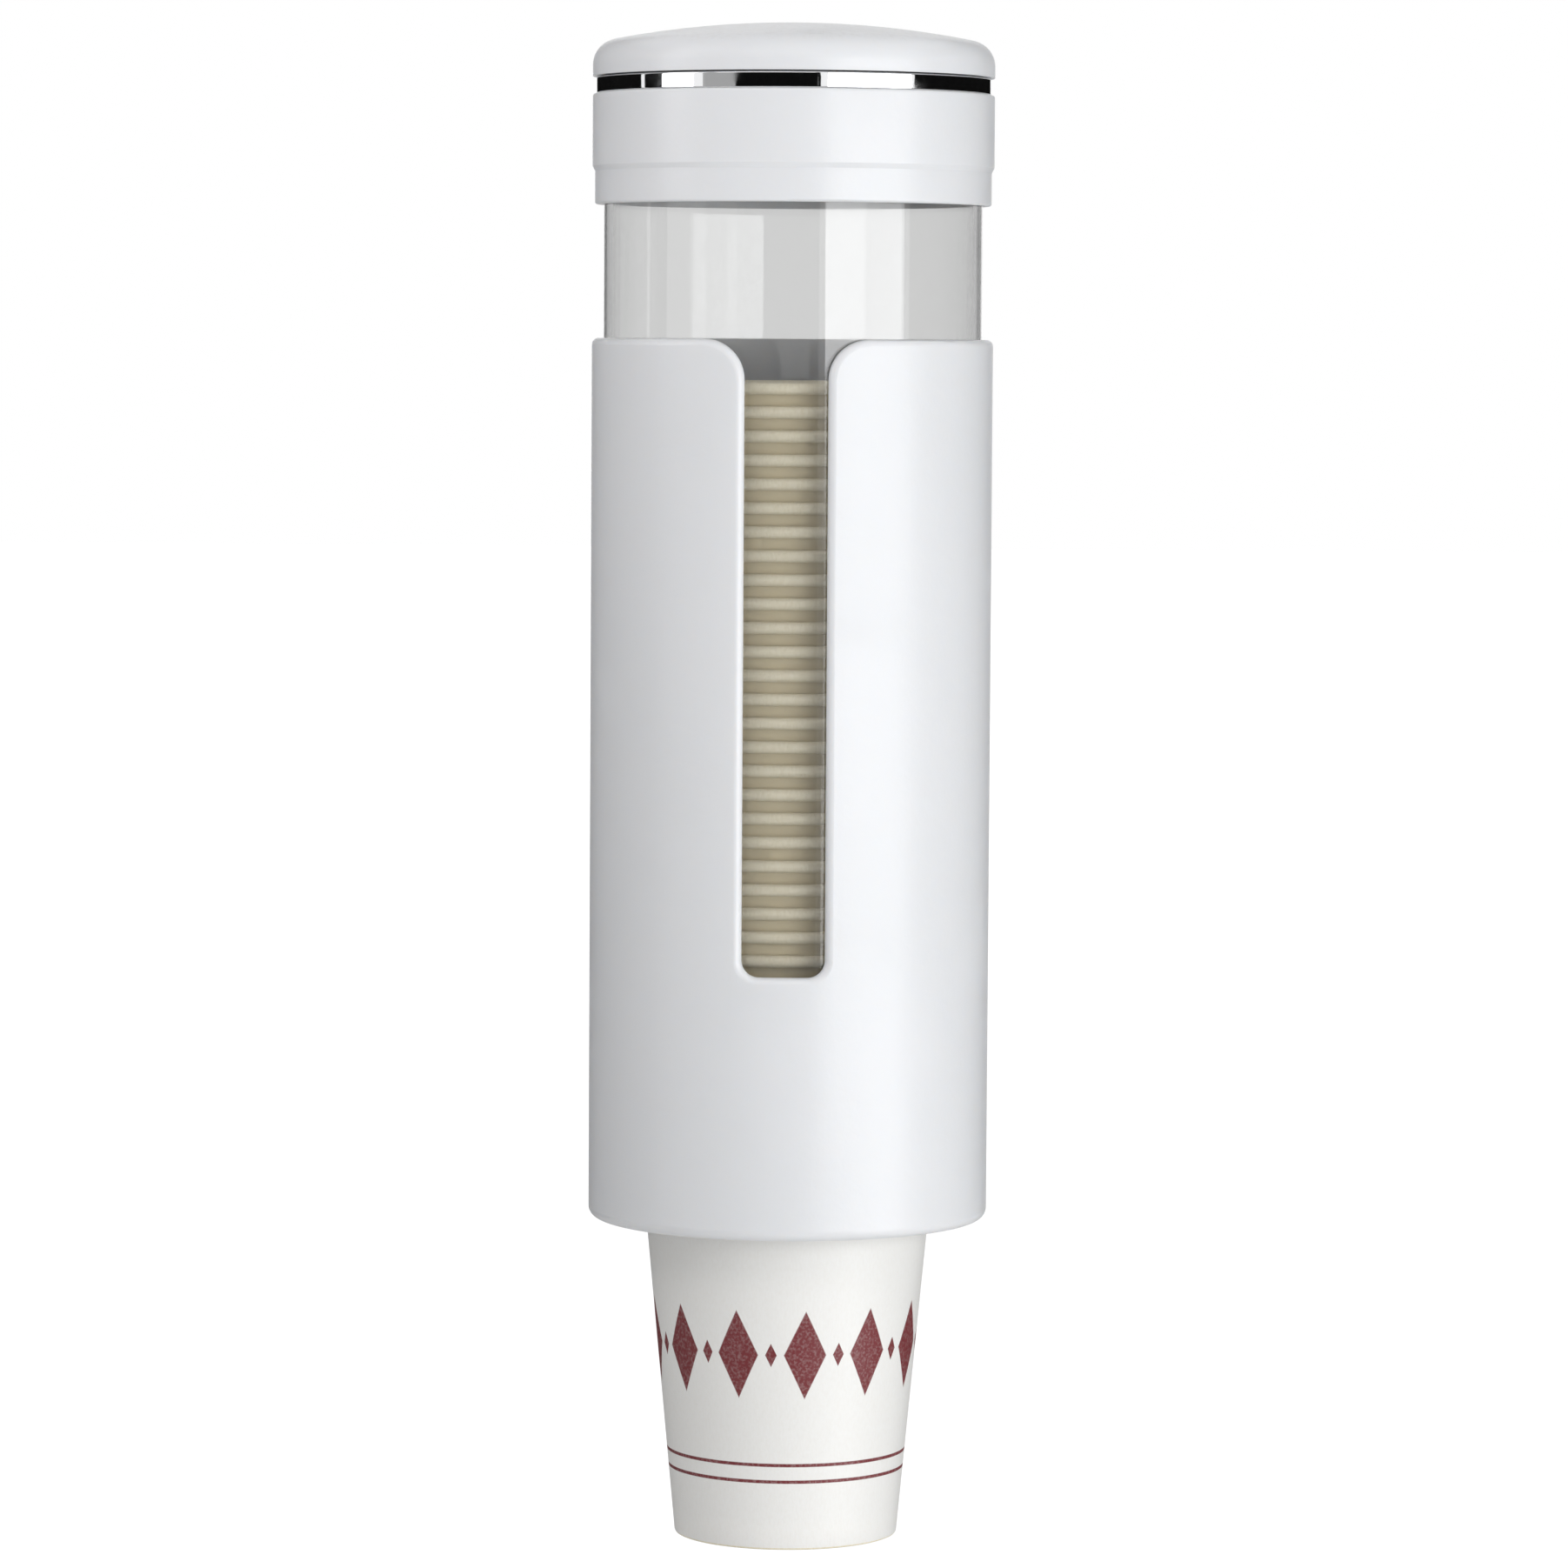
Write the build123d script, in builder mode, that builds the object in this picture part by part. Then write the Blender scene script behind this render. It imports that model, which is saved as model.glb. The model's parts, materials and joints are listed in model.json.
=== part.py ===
# Wall cup dispenser: a slotted white tube that holds nested paper cups and lets them out
# one at a time at the bottom. Lengths are in millimetres.
#
# The frame's origin is the centre of the face that goes against the wall. +Z is up, +Y points
# into the wall and the dispenser's front faces -Y. Heights on the tube are counted from the
# shell's flat bottom.

import math
import os

from build123d import *

os.makedirs("parts", exist_ok=True)

# Paper cup
cup_height = 86.3
cup_base_diameter = 53.0
paper = 0.35
hem_thickness = 1.05
rim_roll_diameter = 2.9
nest_pitch = 5.55
nest_gap = 0.15
stacked_cups = 34
stack_headroom = 9.5

# Room round a cup's rim: to the clear tube, to the shell's mouth and to the guide ring's foot
tube_room = 5.55
mouth_room = 2.75
guide_room = 1.75

# Outer shell
shell_diameter = 95.0
shell_wall = 2.2
shell_height = 209.0
shell_floor = 3.5
shell_edge_radius = 2.5

# Window slot in the shell's front
slot_width = 19.3
slot_foot = 61.5
slot_corner_radius = 4.0
slot_shoulder_radius = 9.5
slot_edge_radius = 1.6

# Ring of flexible fingers under the lowest cup's rim
finger_count = 12
finger_slit = 2.4
finger_slit_root = 0.7
finger_slit_corner_radius = 0.8
finger_ring_thickness = 2.0
finger_rise = 1.6
finger_tip_thickness = 1.4
finger_tip_gap = 0.4

# Guide ring above the fingers
guide_height = 6.0

# Clear inner tube
tube_wall = 2.0
tube_side_gap = 0.5

# Collar round the tube's top, above the stretch of tube that shows
tube_shown_height = 31.5
collar_height = 26.0
collar_skirt_height = 7.8
collar_skirt_step = 0.6
collar_step_slope = 1.2
collar_lip = 1.5
collar_lip_width = 1.8
collar_edge_radius = 0.6

# Chrome ring
chrome_band_height = 3.8
chrome_band_inset = 0.8
chrome_edge_radius = 0.9
spigot_wall = 2.0
spigot_depth = 8.5
spigot_gap = 0.2

# Lid
lid_side_height = 2.7
lid_shoulder_radius = 6.0
lid_rise = 10.0
lid_wall = 2.0
liner_seat = 0.9
liner_thickness = 1.5
liner_skirt_wall = 1.5
liner_skirt_depth = 9.0
seal_inset = 0.7
seal_width = 3.6

# Hanger plate on the shell's back
pad_width = 30.0
pad_height = 90.0
pad_proud = 2.5
pad_corner_radius = 2.0
flange_width = 30.0
flange_thickness = 2.5
neck_width = 20.0
hanger_height = 80.0
hanger_corner_radius = 1.5

# Wall bracket
bracket_below_rim = 59.0
bracket_width = 46.0
bracket_height = 102.0
bracket_corner_radius = 3.0
bracket_plate = 3.0
rail_wall = 3.2
rail_lip = 2.0
rail_length = 84.0
stop_height = 3.0
wall_screw_spacing = 60.0
wall_screw_hole_diameter = 4.5
wall_screw_head_diameter = 8.6
foam_thickness = 1.0

# Screws
base_screw_count = 4
base_screw_turn = 45
base_screw_inset = 2.3
base_screw_diameter = 2.5
base_screw_head_diameter = 4.6
base_screw_length = 8.0
hanger_screw_diameter = 3.0
hanger_screw_head_diameter = 5.6
hanger_screw_length = 8.0
hanger_screw_spacing_x = 11.0
hanger_screw_spacing_z = 50.0
screw_recess_width = 0.6
screw_recess_depth = 1.0
countersink_angle = 90.0

# Clearances
seat_gap = 0.3
slide_gap = 0.3
neck_gap = 0.4
glue_gap = 0.05
screw_gap = 0.05
overrun = 5.0

# Places worked out from the sizes above
shell_radius = shell_diameter / 2
bore_radius = shell_radius - shell_wall
ring_radius = bore_radius - slide_gap
tube_radius = bore_radius - tube_side_gap
tube_bore_radius = tube_radius - tube_wall
rim_radius = tube_bore_radius - tube_room
mouth_radius = rim_radius + mouth_room
base_screw_circle_radius = bore_radius - base_screw_inset
bracket_centre_height = shell_height - bracket_below_rim

guide_foot = shell_floor + finger_ring_thickness
guide_foot_radius = rim_radius + guide_room
guide_top = guide_foot + guide_height
tube_foot = guide_top + seat_gap
collar_foot = shell_height + tube_shown_height
collar_top = collar_foot + collar_height
tube_top = collar_top - collar_lip
chrome_top = collar_top + chrome_band_height
spigot_radius = tube_bore_radius - spigot_gap
spigot_bore_radius = spigot_radius - spigot_wall
lid_foot = chrome_top + seat_gap

foam_face = foam_thickness
bracket_face = foam_face + bracket_plate
channel_depth = slide_gap + flange_thickness + slide_gap
lip_face = bracket_face + channel_depth + rail_lip
pad_face = lip_face + neck_gap
axis_distance = pad_face + pad_proud + shell_radius
flange_face = bracket_face + slide_gap

rail_foot = -rail_length / 2
hanger_foot = rail_foot + seat_gap

foot_plane = Plane((0, -axis_distance, -bracket_centre_height))
side_plane = Plane(foot_plane.origin, x_dir=(1, 0, 0), z_dir=(0, -1, 0))
tube_axis = Axis(foot_plane.origin, (0, 0, 1))
floor_face_plane = Plane(foot_plane.origin, z_dir=(0, 0, -1))
flange_face_plane = Plane((0, -flange_face, hanger_foot + hanger_height / 2), x_dir=(1, 0, 0),
                          z_dir=(0, 1, 0))


# Cups nest at their usual pitch, or further apart where their walls would touch first. Cups
# with hardly any slope stand on one another
cup_base_radius = cup_base_diameter / 2
cup_slope = (rim_radius - rim_roll_diameter + paper - cup_base_radius) / cup_height
cup_pitch = max(nest_pitch, min(cup_height, (paper + nest_gap) / cup_slope))


def cup_radius(height):
    """The outside of a cup's wall at a height above the cup's base."""
    return cup_base_radius + cup_slope * height


# The lowest cup hangs by its rim on the finger tips. The others nest in it, as many as the
# shell has room for
finger_tip_top = guide_foot + finger_rise
pull_cup_rim = finger_tip_top + seat_gap + rim_roll_diameter
pull_cup_foot = pull_cup_rim - cup_height
stack_room = shell_height - stack_headroom - pull_cup_rim
cups_in_stack = min(stacked_cups, int(stack_room / cup_pitch))
finger_tip_radius = cup_radius(cup_height - rim_roll_diameter) + finger_tip_gap


def section(points):
    """A flat half section of a turned piece, from points of radius and height."""
    with BuildSketch(side_plane) as half:
        with BuildLine():
            Polyline(*points, close=True)
        make_face()
    return half.sketch


def write(part, name):
    """Label a finished piece and write its file."""
    part.label = name
    export_step(part, f"parts/{name}.step")


def screw_shape(diameter, head_diameter, length, grow=0, mode=Mode.ADD):
    """A countersunk screw whose head is flush, or its seat when it is grown and cut away."""
    shank = diameter / 2 + grow
    head = head_diameter / 2 + grow
    head_depth = (head - shank) / math.tan(math.radians(countersink_angle / 2))
    from_face = (Align.CENTER, Align.CENTER, Align.MAX)
    Cone(shank, head, head_depth, align=from_face, mode=mode)
    Cylinder(shank, length + grow, align=from_face, mode=mode)


def screw_recess(head_diameter):
    """The cross recess in a screw's head."""
    from_face = (Align.CENTER, Align.CENTER, Align.MAX)
    across = head_diameter / 2
    Box(across, screw_recess_width, screw_recess_depth, align=from_face, mode=Mode.SUBTRACT)
    Box(screw_recess_width, across, screw_recess_depth, align=from_face, mode=Mode.SUBTRACT)


# Outer shell
with BuildPart() as outer_shell:
    with BuildSketch(foot_plane):
        Circle(shell_radius)
    extrude(amount=shell_height)
    fillet(outer_shell.edges().group_by(Axis.Z)[0], shell_edge_radius)
    # Pad on the back for the hanger plate
    with BuildSketch(Plane.XZ.offset(pad_face)):
        RectangleRounded(pad_width, pad_height, pad_corner_radius)
    extrude(amount=pad_proud + shell_radius)
    # Bore for the clear tube, and the mouth in the floor
    with BuildSketch(foot_plane.offset(shell_floor)):
        Circle(bore_radius)
    extrude(amount=shell_height, mode=Mode.SUBTRACT)
    with BuildSketch(foot_plane):
        Circle(mouth_radius)
    extrude(amount=shell_floor, mode=Mode.SUBTRACT)
    # Window slot, open at the top between two rounded shoulders
    with BuildSketch(side_plane):
        with BuildLine():
            shoulder_x = slot_width / 2 + slot_shoulder_radius
            shoulder_z = shell_height - slot_shoulder_radius
            right = CenterArc((shoulder_x, shoulder_z), slot_shoulder_radius, 90, 90)
            left = CenterArc((-shoulder_x, shoulder_z), slot_shoulder_radius, 0, 90)
            Polyline(right @ 1, (slot_width / 2, slot_foot), (-slot_width / 2, slot_foot), left @ 0)
            top = shell_height + overrun
            Polyline(left @ 1, (-shoulder_x, top), (shoulder_x, top), right @ 0)
        make_face()
        slot_corners = vertices().group_by(Axis.Y)[0]
        fillet(slot_corners, slot_corner_radius)
    extrude(amount=shell_radius + overrun, mode=Mode.SUBTRACT)
    # The slot's outer edge and the rim's outer edge are one smooth round
    slot_foot_level = foot_plane.origin.Z + slot_foot - slot_edge_radius
    outer_wall = outer_shell.faces().filter_by(GeomType.CYLINDER).sort_by(SortBy.AREA)[-1]
    slot_outline = outer_wall.edges().filter_by(lambda edge: edge.center().Z > slot_foot_level)
    fillet(slot_outline, slot_edge_radius)
    # Seats for the screws in the floor and in the pad
    with Locations(floor_face_plane):
        with PolarLocations(base_screw_circle_radius, base_screw_count, base_screw_turn):
            screw_shape(base_screw_diameter, base_screw_head_diameter, base_screw_length,
                        screw_gap, Mode.SUBTRACT)
    with Locations(flange_face_plane):
        with GridLocations(hanger_screw_spacing_x, hanger_screw_spacing_z, 2, 2):
            screw_shape(hanger_screw_diameter, hanger_screw_head_diameter, hanger_screw_length,
                        screw_gap, Mode.SUBTRACT)
write(outer_shell.part, "outer_shell")

# Finger ring: one flexible piece, its fingers bent up to the rim of the lowest cup
with BuildPart() as finger_ring:
    revolve(section([(ring_radius, shell_floor), (ring_radius, guide_foot),
                     (guide_foot_radius, guide_foot), (finger_tip_radius, finger_tip_top),
                     (finger_tip_radius, finger_tip_top - finger_tip_thickness),
                     (mouth_radius - slide_gap, shell_floor)]), tube_axis)
    slit_length = mouth_radius + finger_slit_root - finger_tip_radius + overrun
    with BuildSketch(foot_plane):
        with PolarLocations(mouth_radius + finger_slit_root - slit_length / 2, finger_count):
            RectangleRounded(slit_length, finger_slit, finger_slit_corner_radius)
    extrude(amount=finger_tip_top + overrun, mode=Mode.SUBTRACT)
    with BuildSketch(foot_plane):
        with PolarLocations(base_screw_circle_radius, base_screw_count, base_screw_turn):
            Circle(base_screw_diameter / 2 + screw_gap)
    extrude(amount=finger_tip_top, mode=Mode.SUBTRACT)
write(finger_ring.part, "finger_ring")

# Guide ring: clamps the fingers, carries the clear tube and guides the cups to the middle
with BuildPart() as guide_ring:
    revolve(section([(guide_foot_radius, guide_foot), (ring_radius, guide_foot),
                     (ring_radius, guide_top), (tube_bore_radius, guide_top)]), tube_axis)
    with BuildSketch(foot_plane.offset(guide_foot)):
        with PolarLocations(base_screw_circle_radius, base_screw_count, base_screw_turn):
            Circle(base_screw_diameter / 2 + screw_gap)
    extrude(amount=base_screw_length + screw_gap - guide_foot, mode=Mode.SUBTRACT)
write(guide_ring.part, "guide_ring")

# Screws through the shell's floor into the guide ring
with BuildPart() as base_screws:
    with Locations(floor_face_plane):
        with PolarLocations(base_screw_circle_radius, base_screw_count, base_screw_turn):
            screw_shape(base_screw_diameter, base_screw_head_diameter, base_screw_length)
            screw_recess(base_screw_head_diameter)
write(base_screws.part, "base_screws")

# Clear inner tube
with BuildPart() as clear_tube:
    with BuildSketch(foot_plane.offset(tube_foot)):
        Circle(tube_radius)
        Circle(tube_bore_radius, mode=Mode.SUBTRACT)
    extrude(amount=tube_top - tube_foot)
write(clear_tube.part, "clear_tube")

# Collar glued round the tube's top, with a lip over the tube's end
with BuildPart() as top_collar:
    skirt_radius = shell_radius - collar_skirt_step
    skirt_top = collar_foot + collar_skirt_height
    collar_bore_radius = tube_radius + glue_gap
    lip_radius = tube_radius - collar_lip_width
    revolve(section([(collar_bore_radius, collar_foot), (skirt_radius, collar_foot),
                     (skirt_radius, skirt_top), (shell_radius, skirt_top + collar_step_slope),
                     (shell_radius, collar_top), (lip_radius, collar_top),
                     (lip_radius, tube_top), (collar_bore_radius, tube_top)]), tube_axis)
    outer_edges = top_collar.edges().filter_by(GeomType.CIRCLE).group_by(SortBy.RADIUS)[-1]
    fillet(outer_edges.sort_by(Axis.Z)[-1], collar_edge_radius)
    skirt_edges = top_collar.edges().filter_by(GeomType.CIRCLE).group_by(Axis.Z)[0]
    fillet(skirt_edges.sort_by(SortBy.RADIUS)[-1], collar_edge_radius)
write(top_collar.part, "top_collar")

# Chrome ring: a band on the collar, with a spigot that drops inside the tube
with BuildPart() as chrome_ring:
    band_radius = shell_radius - chrome_band_inset
    revolve(section([(spigot_bore_radius, collar_top - spigot_depth),
                     (spigot_radius, collar_top - spigot_depth), (spigot_radius, collar_top),
                     (band_radius, collar_top), (band_radius, chrome_top),
                     (spigot_bore_radius, chrome_top)]), tube_axis)
    band_edges = chrome_ring.edges().filter_by(GeomType.CIRCLE).group_by(SortBy.RADIUS)[-1]
    fillet(band_edges, chrome_edge_radius)
write(chrome_ring.part, "chrome_ring")


def dome_section(inset):
    """Half of the lid's outline, or of its hollow where it is inset by the wall."""
    radius = shell_radius - inset
    corner = lid_shoulder_radius - inset
    rise = lid_rise - inset
    lean = 2 * math.degrees(math.atan((rise - corner) / (radius - corner)))
    with BuildSketch(side_plane) as half:
        with BuildLine():
            side = Line((radius, lid_foot), (radius, lid_foot + lid_side_height))
            shoulder = JernArc(side @ 1, side % 1, corner, 90 - lean)
            crown = TangentArc(shoulder @ 1, (0, lid_foot + lid_side_height + rise),
                               tangent=shoulder % 1)
            Polyline(crown @ 1, (0, lid_foot), side @ 0)
        make_face()
    return half.sketch


# Lid: a domed shell, open underneath
with BuildPart() as lid_dome:
    revolve(dome_section(0), tube_axis)
    revolve(dome_section(lid_wall), tube_axis, mode=Mode.SUBTRACT)
write(lid_dome.part, "lid_dome")

# Liner inside the lid: a disc that closes the dome, and a skirt that centres it in the ring
with BuildPart() as lid_liner:
    disc_radius = shell_radius - lid_wall - glue_gap
    liner_foot = lid_foot + liner_seat
    liner_top = liner_foot + liner_thickness
    skirt_radius = spigot_bore_radius - slide_gap
    inner_radius = skirt_radius - liner_skirt_wall
    revolve(section([(0, liner_top), (0, liner_foot), (inner_radius, liner_foot),
                     (inner_radius, chrome_top - liner_skirt_depth),
                     (skirt_radius, chrome_top - liner_skirt_depth), (skirt_radius, liner_foot),
                     (disc_radius, liner_foot), (disc_radius, liner_top)]), tube_axis)
write(lid_liner.part, "lid_liner")

# Soft seal between the liner's rim and the chrome ring
with BuildPart() as lid_seal:
    seal_inner_radius = spigot_bore_radius + seal_inset
    with BuildSketch(foot_plane.offset(lid_foot)):
        Circle(seal_inner_radius + seal_width)
        Circle(seal_inner_radius, mode=Mode.SUBTRACT)
    extrude(amount=liner_seat)
write(lid_seal.part, "lid_seal")

# Adhesive foam pad against the wall
with BuildPart() as adhesive_pad:
    with BuildSketch(Plane.XZ):
        RectangleRounded(bracket_width, bracket_height, bracket_corner_radius)
        with GridLocations(0, wall_screw_spacing, 1, 2):
            Circle(wall_screw_hole_diameter / 2, mode=Mode.SUBTRACT)
    extrude(amount=foam_thickness)
write(adhesive_pad.part, "adhesive_pad")

# Wall bracket: a plate with two hooked rails and a stop across the bottom
with BuildPart() as wall_bracket:
    rail_outer = flange_width / 2 + slide_gap + rail_wall
    rail_inner = rail_outer - rail_wall
    lip_inner = neck_width / 2 + neck_gap
    with BuildSketch(Plane.XZ.offset(foam_face)):
        RectangleRounded(bracket_width, bracket_height, bracket_corner_radius)
    extrude(amount=bracket_plate)
    for inner, near, far in ((rail_inner, bracket_face, lip_face - rail_lip),
                             (lip_inner, lip_face - rail_lip, lip_face)):
        with BuildSketch(Plane.XZ.offset(near)):
            with Locations((-(inner + rail_outer) / 2, 0), ((inner + rail_outer) / 2, 0)):
                Rectangle(rail_outer - inner, rail_length)
            with Locations((0, rail_foot)):
                Rectangle(2 * rail_outer, stop_height, align=(Align.CENTER, Align.MAX))
        extrude(amount=far - near)
    with Locations(Plane.XZ.offset(bracket_face)):
        with GridLocations(0, wall_screw_spacing, 1, 2):
            CounterSinkHole(wall_screw_hole_diameter / 2, wall_screw_head_diameter / 2,
                            bracket_plate, countersink_angle)
write(wall_bracket.part, "wall_bracket")

# Hanger plate: its flange slides down between the rails, and its neck meets the shell's pad
with BuildPart() as hanger_plate:
    with BuildSketch(Plane.XZ.offset(flange_face)):
        with Locations((0, hanger_foot)):
            Rectangle(flange_width, hanger_height, align=(Align.CENTER, Align.MIN))
        fillet(vertices(), hanger_corner_radius)
    extrude(amount=flange_thickness)
    with BuildSketch(Plane.XZ.offset(flange_face + flange_thickness)):
        with Locations((0, hanger_foot)):
            Rectangle(neck_width, hanger_height, align=(Align.CENTER, Align.MIN))
    extrude(amount=pad_face - flange_face - flange_thickness)
    with Locations(flange_face_plane):
        with GridLocations(hanger_screw_spacing_x, hanger_screw_spacing_z, 2, 2):
            screw_shape(hanger_screw_diameter, hanger_screw_head_diameter, hanger_screw_length,
                        screw_gap, Mode.SUBTRACT)
write(hanger_plate.part, "hanger_plate")

# Screws through the hanger plate into the shell's pad
with BuildPart() as hanger_screws:
    with Locations(flange_face_plane):
        with GridLocations(hanger_screw_spacing_x, hanger_screw_spacing_z, 2, 2):
            screw_shape(hanger_screw_diameter, hanger_screw_head_diameter, hanger_screw_length)
            screw_recess(hanger_screw_head_diameter)
write(hanger_screws.part, "hanger_screws")


def make_cup(foot):
    """A paper cup whose base stands at the height foot: wall, recessed floor, hem and rim."""
    floor_top = nest_pitch - seat_gap
    floor_underside = floor_top - paper
    rim_middle = (rim_radius - rim_roll_diameter / 2, foot + cup_height - rim_roll_diameter / 2)
    with BuildPart() as cup:
        with BuildSketch(side_plane) as half:
            with BuildLine():
                Polyline((cup_radius(0), foot), (cup_radius(cup_height), foot + cup_height),
                         (cup_radius(cup_height) - paper, foot + cup_height),
                         (cup_radius(floor_top) - paper, foot + floor_top),
                         (0, foot + floor_top), (0, foot + floor_underside),
                         (cup_radius(floor_underside) - hem_thickness, foot + floor_underside),
                         (cup_radius(0) - hem_thickness, foot), close=True)
            make_face()
            with Locations(rim_middle):
                Circle(rim_roll_diameter / 2)
        revolve(axis=tube_axis)
    return cup.part


# The cup that hangs out of the mouth, and the stack nested above it
write(make_cup(pull_cup_foot), "pull_cup")
for number in range(1, cups_in_stack + 1):
    write(make_cup(pull_cup_foot + number * cup_pitch), f"stack_cup_{number:02d}")
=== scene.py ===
# %% [markdown]
# A wall cup dispenser, dressed around its fixed frame.
#
# The frame already holds every piece at its real size, and most pieces keep that shape and only
# get their finish here. Two kinds are made anew, because a solid model leaves them plain: the
# paper cups, and the plated ring under the lid.
# Every length is in metres. +Z is up, the wall is at Y = 0 and the front faces -Y.

# %% Load the frame and keep its box
import json
import math

import bmesh
import bpy
from mathutils import Euler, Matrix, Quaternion, Vector


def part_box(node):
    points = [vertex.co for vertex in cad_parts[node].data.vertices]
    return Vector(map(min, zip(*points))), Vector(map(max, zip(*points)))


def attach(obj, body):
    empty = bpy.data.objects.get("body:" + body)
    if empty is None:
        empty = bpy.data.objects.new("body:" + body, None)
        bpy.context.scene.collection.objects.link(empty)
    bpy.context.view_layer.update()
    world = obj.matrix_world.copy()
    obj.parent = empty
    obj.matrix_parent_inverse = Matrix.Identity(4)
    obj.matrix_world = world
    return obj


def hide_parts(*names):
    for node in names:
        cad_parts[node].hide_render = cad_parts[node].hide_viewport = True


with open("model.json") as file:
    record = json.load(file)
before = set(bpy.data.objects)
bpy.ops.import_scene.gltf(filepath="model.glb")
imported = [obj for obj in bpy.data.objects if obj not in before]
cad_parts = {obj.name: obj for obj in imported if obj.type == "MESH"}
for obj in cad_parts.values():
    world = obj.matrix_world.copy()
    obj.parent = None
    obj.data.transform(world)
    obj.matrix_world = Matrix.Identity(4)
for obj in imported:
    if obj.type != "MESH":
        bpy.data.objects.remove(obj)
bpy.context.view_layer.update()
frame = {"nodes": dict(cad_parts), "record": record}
nodes = frame["nodes"]

# %% [markdown]
# Everything round on a dispenser shares one axis, so its place is read once from the frame
# instead of being typed again. The cups are counted upwards from the one that hangs out.

# %% Measure the frame
tube_low, tube_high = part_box("clear_tube")
axis_x = (tube_low.x + tube_high.x) / 2
axis_y = (tube_low.y + tube_high.y) / 2
shell_rim_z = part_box("outer_shell")[1].z
stack_names = sorted(name for name in nodes if name.startswith("stack_cup_"))
cup_names = ["pull_cup", *stack_names]
print("axis at", round(axis_x, 4), round(axis_y, 4), "with", len(cup_names), "cups")

# %% [markdown]
# The camera stands where the photographer's did. It could be placed by eye, but a fit is
# steadier: the flat edges are seen edge on near the top of the shell, so the lens is level with
# that, and the cup at the bottom is seen slightly from above, so the lens is tipped down.

# %% Camera
photo_px = 1803
focal_px = 7483
sensor_mm = 36.0
camera_distance = 1.545
camera_above_rim = 0.001
camera_azimuth = math.radians(1.7)
camera_pitch = math.radians(3.95)
camera_roll = math.radians(0.35)
axis_right_of_centre_px = 6.7

camera_data = bpy.data.cameras.new("camera")
camera_data.sensor_width = sensor_mm
camera_data.lens = sensor_mm * focal_px / photo_px
camera = bpy.data.objects.new("camera", camera_data)
camera.location = (
    axis_x + camera_distance * math.sin(camera_azimuth),
    axis_y - camera_distance * math.cos(camera_azimuth),
    shell_rim_z + camera_above_rim,
)
aim = Euler((math.pi / 2 - camera_pitch, 0, camera_azimuth + axis_right_of_centre_px / focal_px))
camera.rotation_mode = "QUATERNION"
camera.rotation_quaternion = aim.to_quaternion() @ Quaternion((0, 0, 1), camera_roll)
bpy.context.scene.collection.objects.link(camera)
bpy.context.scene.camera = camera
bpy.context.scene.view_settings.view_transform = "Standard"
print("lens", round(camera_data.lens, 1), "mm")

# %% [markdown]
# White plastic on a white page is drawn by its shading alone, so the light is the old
# product-shot recipe: bright softboxes to the right, a small close one to the left, and a dim
# one above the lens. They could be dragged into place, but then their bars in the plating would
# be guesswork. So whatever stands round the dispenser is placed by azimuth, which is the angle
# from the front as the dispenser sees it, and bars are read off in the same way.

# %% Places round the dispenser
stage_radius = 1.3
close_radius = 0.36
above_radius = 0.8


def around(azimuth, radius, height=0.0):
    """A place on the stage, counted round from the dispenser's front, positive to the right."""
    angle = math.radians(azimuth)
    return Vector((axis_x + radius * math.sin(angle), axis_y - radius * math.cos(angle), height))


print("straight in front is", [round(part, 2) for part in around(0, stage_radius)])

# %% [markdown]
# A softbox is a bright flat panel, and Blender's area light is one too: it shines evenly from
# its whole face, and shows in the plating as a bar. Brightness 1 is the white of the page, and
# pi turns it into the power of a panel of one square metre. The two boxes at the right touch,
# as one wide light would that is brighter towards the lens. The close one at the left fades
# down the shell, as light from a near lamp does, and the shell is greyest between them.

# %% Softboxes
def softbox(name, azimuth_from, azimuth_to, radius, low, high, brightness, colour, aim=None):
    """An area light that fills a range of azimuths as the dispenser sees them, between two
    heights. It stands upright, or faces the height aim on the axis."""
    half_angle = math.radians(azimuth_to - azimuth_from) / 2
    data = bpy.data.lights.new(name, "AREA")
    data.shape = "RECTANGLE"
    data.size = 2 * radius * math.tan(half_angle)
    data.size_y = high - low
    data.energy = brightness * math.pi * data.size * data.size_y
    data.color = colour
    box = bpy.data.objects.new(name, data)
    middle = (low + high) / 2
    box.location = around((azimuth_from + azimuth_to) / 2, radius, middle)
    towards = Vector((axis_x, axis_y, middle if aim is None else aim)) - box.location
    box.rotation_euler = towards.to_track_quat("-Z", "Y").to_euler()
    bpy.context.scene.collection.objects.link(box)
    return box


cool_light = (0.98, 0.99, 1.0)
warm_light = (1.0, 0.985, 1.0)
above_light = (1.0, 0.985, 0.99)
boxes = [
    softbox("softbox_right", 21, 46, stage_radius, -0.32, 0.32, 3.5, cool_light),
    softbox("softbox_far_right", 46, 72, stage_radius, -0.8, 0.3, 2.7, cool_light),
    softbox("softbox_left", -76, -55, close_radius, 0.1, 0.42, 1.9, warm_light),
    softbox("softbox_above", -45, 15, above_radius, 0.38, 0.61, 1.3, above_light, aim=0.0),
]
for box in boxes:
    print(box.name, round(box.data.size, 2), "by", round(box.data.size_y, 2), "m")

# %% [markdown]
# Materials and the world are made of nodes. Wiring each by hand takes several lines a node, so
# short helpers do it: one fills a socket from a number or another socket, one makes a Math
# node, and one a ramp, which turns any range of a value into any other.

# %% Helpers for nodes
def feed(tree, socket, value):
    """Links a socket to another one, or sets it to a plain value."""
    if isinstance(value, bpy.types.NodeSocket):
        tree.links.new(value, socket)
    else:
        socket.default_value = value


def math_node(tree, operation, *values):
    """A Math node fed by sockets or plain numbers, and its output socket."""
    node = tree.nodes.new("ShaderNodeMath")
    node.operation = operation
    for socket, value in zip(node.inputs, values):
        feed(tree, socket, value)
    return node.outputs[0]


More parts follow.
